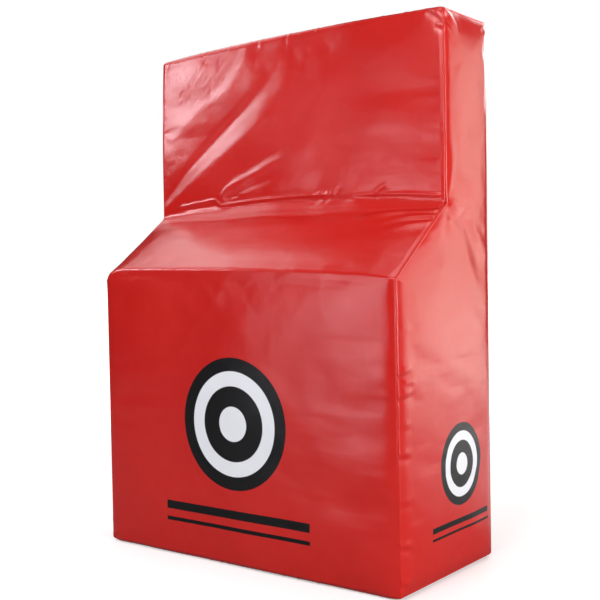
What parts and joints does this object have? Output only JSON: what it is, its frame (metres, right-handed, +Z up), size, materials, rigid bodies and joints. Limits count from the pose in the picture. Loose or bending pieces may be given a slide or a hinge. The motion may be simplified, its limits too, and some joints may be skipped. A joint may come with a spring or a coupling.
{
  "type": "stepped hit shield",
  "caption": "Stepped foam hit shield in a sewn red vinyl cover: the lower striking face stands proud of the upper one, with a slope between; arm straps, hand grips and a zip at the back.",
  "frame": {"origin": "centre of the body's base, on the surface that the shield stands on", "axes": "+Z up along the height; -Y is the striking side and +Y the holder's side; +X is to the right when the striking side is faced"},
  "size_m": [0.556, 0.3308, 0.8],
  "materials": {
    "cover_vinyl": "glossy red PVC-coated fabric with a fine grain",
    "core_foam": "open-cell foam",
    "firm_foam": "closed-cell foam sheet",
    "webbing": "black woven webbing",
    "grip_cover": "padded woven sleeve",
    "zip_tape": "zip tape with nylon coil",
    "zip_metal": "nickel-plated",
    "eyelet_metal": "nickel-plated brass"
  },
  "bodies": {
    "root": {"front_panel": "cover_vinyl", "top_panel": "cover_vinyl", "bottom_panel": "cover_vinyl", "side_panel_left": "cover_vinyl", "side_panel_right": "cover_vinyl", "back_panel_upper": "cover_vinyl", "back_panel_lower": "cover_vinyl", "zip_end_patch_left": "cover_vinyl", "zip_end_patch_right": "cover_vinyl", "foam_lower_block": "core_foam", "foam_main_slab": "core_foam", "foam_backing_sheet": "firm_foam", "reinforcement_band_lower": "webbing", "reinforcement_band_upper": "webbing", "arm_strap_left_end_lower": "webbing", "arm_strap_left_end_upper": "webbing", "arm_strap_right_end_lower": "webbing", "arm_strap_right_end_upper": "webbing", "grip_strap_left_end_lower": "webbing", "grip_strap_left_end_upper": "webbing", "grip_strap_right_end_lower": "webbing", "grip_strap_right_end_upper": "webbing", "zip_tape_lower": "zip_tape", "zip_tape_upper": "zip_tape", "zip_stop_left": "zip_metal", "zip_stop_right": "zip_metal", "vent_eyelet_1": "eyelet_metal", "vent_washer_1": "eyelet_metal", "vent_eyelet_2": "eyelet_metal", "vent_washer_2": "eyelet_metal", "vent_eyelet_3": "eyelet_metal", "vent_washer_3": "eyelet_metal", "vent_eyelet_4": "eyelet_metal", "vent_washer_4": "eyelet_metal"},
    "arm_strap_left": {"arm_strap_left": "webbing"},
    "arm_strap_right": {"arm_strap_right": "webbing"},
    "hand_grip_left": {"grip_strap_left": "webbing", "grip_sleeve_left": "grip_cover"},
    "hand_grip_right": {"grip_strap_right": "webbing", "grip_sleeve_right": "grip_cover"},
    "zip_slider": {"zip_slider": "zip_metal"},
    "zip_pull": {"zip_pull": "zip_metal"}
  },
  "joints": [
    {"name": "arm_strap_left_fold", "type": "hinge", "parent": "root", "child": "arm_strap_left", "pos_m": [-0.205, 0.1343, 0.46], "axis": [0, 0, 1], "range_deg": [-30, 30]},
    {"name": "arm_strap_right_fold", "type": "hinge", "parent": "root", "child": "arm_strap_right", "pos_m": [0.205, 0.1343, 0.46], "axis": [0, 0, 1], "range_deg": [-30, 30]},
    {"name": "hand_grip_left_fold", "type": "hinge", "parent": "root", "child": "hand_grip_left", "pos_m": [-0.065, 0.1343, 0.46], "axis": [0, 0, 1], "range_deg": [-45, 45]},
    {"name": "hand_grip_right_fold", "type": "hinge", "parent": "root", "child": "hand_grip_right", "pos_m": [0.065, 0.1343, 0.46], "axis": [0, 0, 1], "range_deg": [-45, 45]},
    {"name": "zip_slide", "type": "slide", "parent": "root", "child": "zip_slider", "axis": [-1, 0, 0], "range_m": [0, 0.455]},
    {"name": "zip_pull_flip", "type": "hinge", "parent": "zip_slider", "child": "zip_pull", "pos_m": [0.228, 0.1346, 0.07], "axis": [0, 0, -1], "range_deg": [0, 165]}
  ]
}
